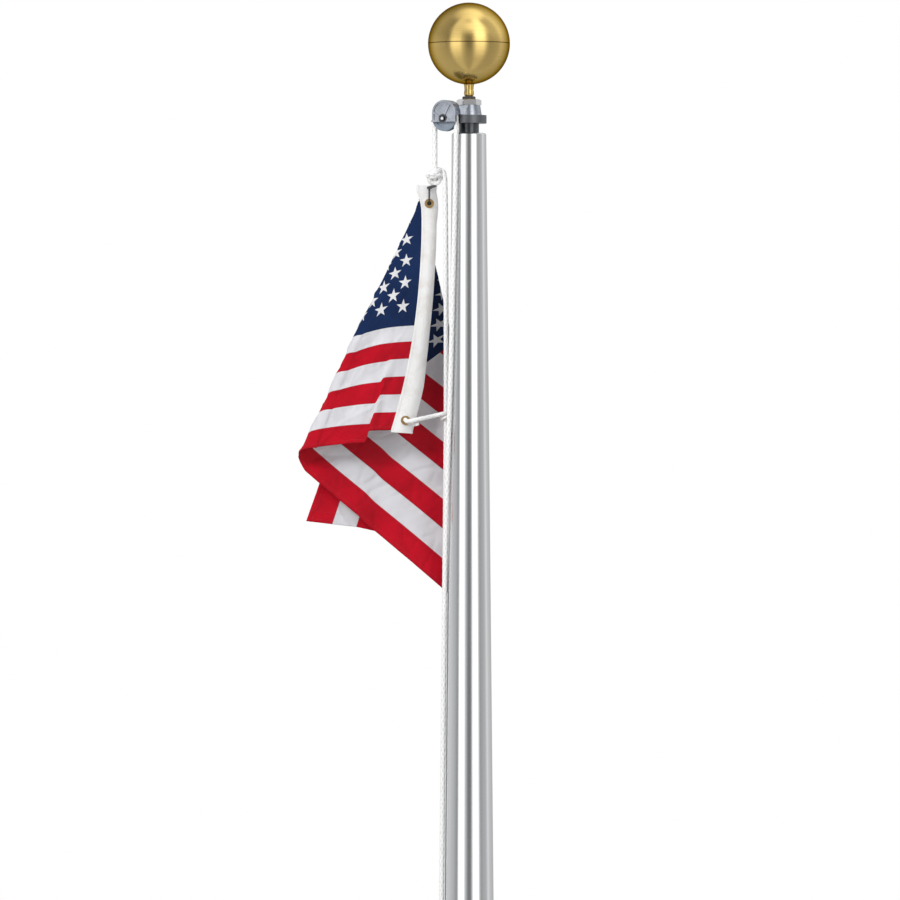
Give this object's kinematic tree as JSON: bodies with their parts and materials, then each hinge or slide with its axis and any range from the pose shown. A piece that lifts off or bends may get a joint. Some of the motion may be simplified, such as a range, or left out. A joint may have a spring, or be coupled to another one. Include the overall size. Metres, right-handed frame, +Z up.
{
  "type": "flagpole",
  "caption": "Ground-mounted tapered aluminium flagpole with a pulley truck, gold ball, rope halyard on a cleat and a small hanging flag.",
  "frame": {"origin": "centre of the base flange's underside, at ground level", "axes": "+Z up along the pole; the flag hangs towards -X and the pulley's rope falls stand on the -Y side"},
  "size_m": [0.3073, 0.19, 4.7337],
  "materials": {
    "satin_aluminium": "satin",
    "cast_aluminium": "cast",
    "steel": "zinc plated",
    "bright_metal": "polished",
    "gold_metal": "gold anodised, satin",
    "brass": "polished",
    "sheave_plastic": "moulded",
    "rope": "braided",
    "canvas": "woven canvas",
    "flag_fabric": "woven nylon"
  },
  "bodies": {
    "mast": {"base_flange": "cast_aluminium", "base_set_screws": "steel", "pole_tube": "satin_aluminium", "top_bushing": "cast_aluminium", "truck_spindle": "steel", "truck_body": "cast_aluminium", "sheave_axle": "steel", "truck_nut": "bright_metal", "ball_jam_nut": "bright_metal", "ball_rod": "steel", "ball_neck": "gold_metal", "ball_lower_half": "gold_metal", "ball_upper_half": "gold_metal", "cleat": "cast_aluminium", "cleat_screw_upper": "steel", "cleat_screw_lower": "steel", "halyard_hauling_part": "rope", "halyard_flag_part": "rope", "halyard_belay": "rope", "halyard_knot": "rope", "snap_hook": "steel", "snap_swivel": "steel", "flag_header": "canvas", "flag_cloth": "flag_fabric", "grommet_upper": "brass", "grommet_lower": "brass", "grommet_tie": "rope", "tie_hitch": "rope"},
    "pulley": {"sheave": "sheave_plastic"}
  },
  "joints": [
    {"name": "sheave_spin", "type": "hinge", "parent": "mast", "child": "pulley", "pos_m": [-0.02895, -0.01428, 4.5893], "axis": [0.4226, 0.9063, 0], "continuous": true}
  ]
}
